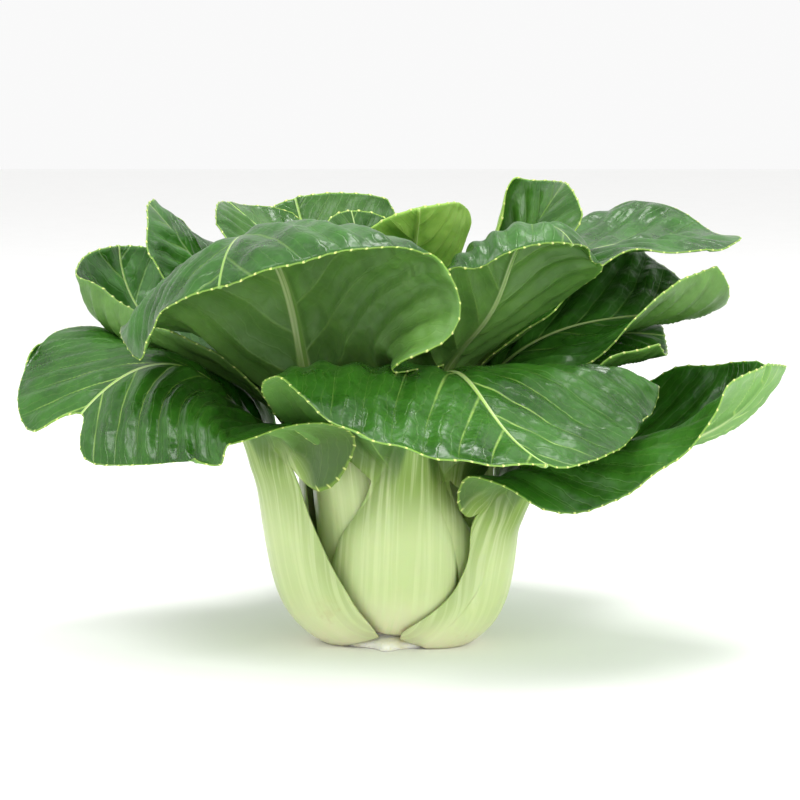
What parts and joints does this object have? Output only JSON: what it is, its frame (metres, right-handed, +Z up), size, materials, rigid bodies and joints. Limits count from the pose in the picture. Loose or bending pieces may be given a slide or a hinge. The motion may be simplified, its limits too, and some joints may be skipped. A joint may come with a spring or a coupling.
{
  "type": "bok choy",
  "caption": "Whole head of bok choy standing on its cut base: a pale bulb of overlapping fleshy stalks and a spreading crown of dark green leaves with light midribs.",
  "frame": {"origin": "centre of the flat cut base, at the ground", "axes": "+Z up along the stem; -Y towards the side seen in the picture; +X to the right as seen from there"},
  "size_m": [0.2122, 0.2266, 0.1285],
  "materials": {
    "cut_stem": "cut stem: whitish, moist, matte",
    "leaf_01_stalk": "leaf stalk: smooth, waxy, pale yellow-green to white",
    "leaf_01_blade": "leaf blade: waxy dark green, light veins, paler underneath",
    "leaf_02_stalk": "leaf stalk: smooth, waxy, pale yellow-green to white",
    "leaf_02_blade": "leaf blade: waxy dark green, light veins, paler underneath",
    "leaf_03_stalk": "leaf stalk: smooth, waxy, pale yellow-green to white",
    "leaf_03_blade": "leaf blade: waxy dark green, light veins, paler underneath",
    "leaf_04_stalk": "leaf stalk: smooth, waxy, pale yellow-green to white",
    "leaf_04_blade": "leaf blade: waxy dark green, light veins, paler underneath",
    "leaf_05_stalk": "leaf stalk: smooth, waxy, pale yellow-green to white",
    "leaf_05_blade": "leaf blade: waxy dark green, light veins, paler underneath",
    "leaf_06_stalk": "leaf stalk: smooth, waxy, pale yellow-green to white",
    "leaf_06_blade": "leaf blade: waxy dark green, light veins, paler underneath",
    "leaf_07_stalk": "leaf stalk: smooth, waxy, pale yellow-green to white",
    "leaf_07_blade": "leaf blade: waxy dark green, light veins, paler underneath",
    "leaf_08_stalk": "leaf stalk: smooth, waxy, pale yellow-green to white",
    "leaf_08_blade": "leaf blade: waxy dark green, light veins, paler underneath",
    "leaf_09_stalk": "leaf stalk: smooth, waxy, pale yellow-green to white",
    "leaf_09_blade": "leaf blade: waxy dark green, light veins, paler underneath",
    "leaf_10_stalk": "leaf stalk: smooth, waxy, pale yellow-green to white",
    "leaf_10_blade": "leaf blade: waxy dark green, light veins, paler underneath",
    "leaf_11_stalk": "leaf stalk: smooth, waxy, pale yellow-green to white",
    "leaf_11_blade": "leaf blade: waxy dark green, light veins, paler underneath",
    "leaf_12_stalk": "leaf stalk: smooth, waxy, pale yellow-green to white",
    "leaf_12_blade": "leaf blade: waxy dark green, light veins, paler underneath",
    "leaf_13_stalk": "leaf stalk: smooth, waxy, pale yellow-green to white",
    "leaf_13_blade": "leaf blade: waxy dark green, light veins, paler underneath",
    "leaf_14_stalk": "leaf stalk: smooth, waxy, pale yellow-green to white",
    "leaf_14_blade": "leaf blade: waxy dark green, light veins, paler underneath",
    "leaf_15_stalk": "leaf stalk: smooth, waxy, pale yellow-green to white",
    "leaf_15_blade": "leaf blade: waxy dark green, light veins, paler underneath",
    "leaf_16_stalk": "leaf stalk: smooth, waxy, pale yellow-green to white",
    "leaf_16_blade": "leaf blade: waxy dark green, light veins, paler underneath",
    "leaf_17_stalk": "leaf stalk: smooth, waxy, pale yellow-green to white",
    "leaf_17_blade": "leaf blade: waxy dark green, light veins, paler underneath"
  },
  "bodies": {
    "root": {"stem": "cut_stem", "leaf_01_stalk": "leaf_01_stalk", "leaf_01_blade": "leaf_01_blade", "leaf_02_stalk": "leaf_02_stalk", "leaf_02_blade": "leaf_02_blade", "leaf_03_stalk": "leaf_03_stalk", "leaf_03_blade": "leaf_03_blade", "leaf_04_stalk": "leaf_04_stalk", "leaf_04_blade": "leaf_04_blade", "leaf_05_stalk": "leaf_05_stalk", "leaf_05_blade": "leaf_05_blade", "leaf_06_stalk": "leaf_06_stalk", "leaf_06_blade": "leaf_06_blade", "leaf_07_stalk": "leaf_07_stalk", "leaf_07_blade": "leaf_07_blade", "leaf_08_stalk": "leaf_08_stalk", "leaf_08_blade": "leaf_08_blade", "leaf_09_stalk": "leaf_09_stalk", "leaf_09_blade": "leaf_09_blade", "leaf_10_stalk": "leaf_10_stalk", "leaf_10_blade": "leaf_10_blade", "leaf_11_stalk": "leaf_11_stalk", "leaf_11_blade": "leaf_11_blade", "leaf_12_stalk": "leaf_12_stalk", "leaf_12_blade": "leaf_12_blade", "leaf_13_stalk": "leaf_13_stalk", "leaf_13_blade": "leaf_13_blade", "leaf_14_stalk": "leaf_14_stalk", "leaf_14_blade": "leaf_14_blade", "leaf_15_stalk": "leaf_15_stalk", "leaf_15_blade": "leaf_15_blade", "leaf_16_stalk": "leaf_16_stalk", "leaf_16_blade": "leaf_16_blade", "leaf_17_stalk": "leaf_17_stalk", "leaf_17_blade": "leaf_17_blade"}
  },
  "joints": []
}
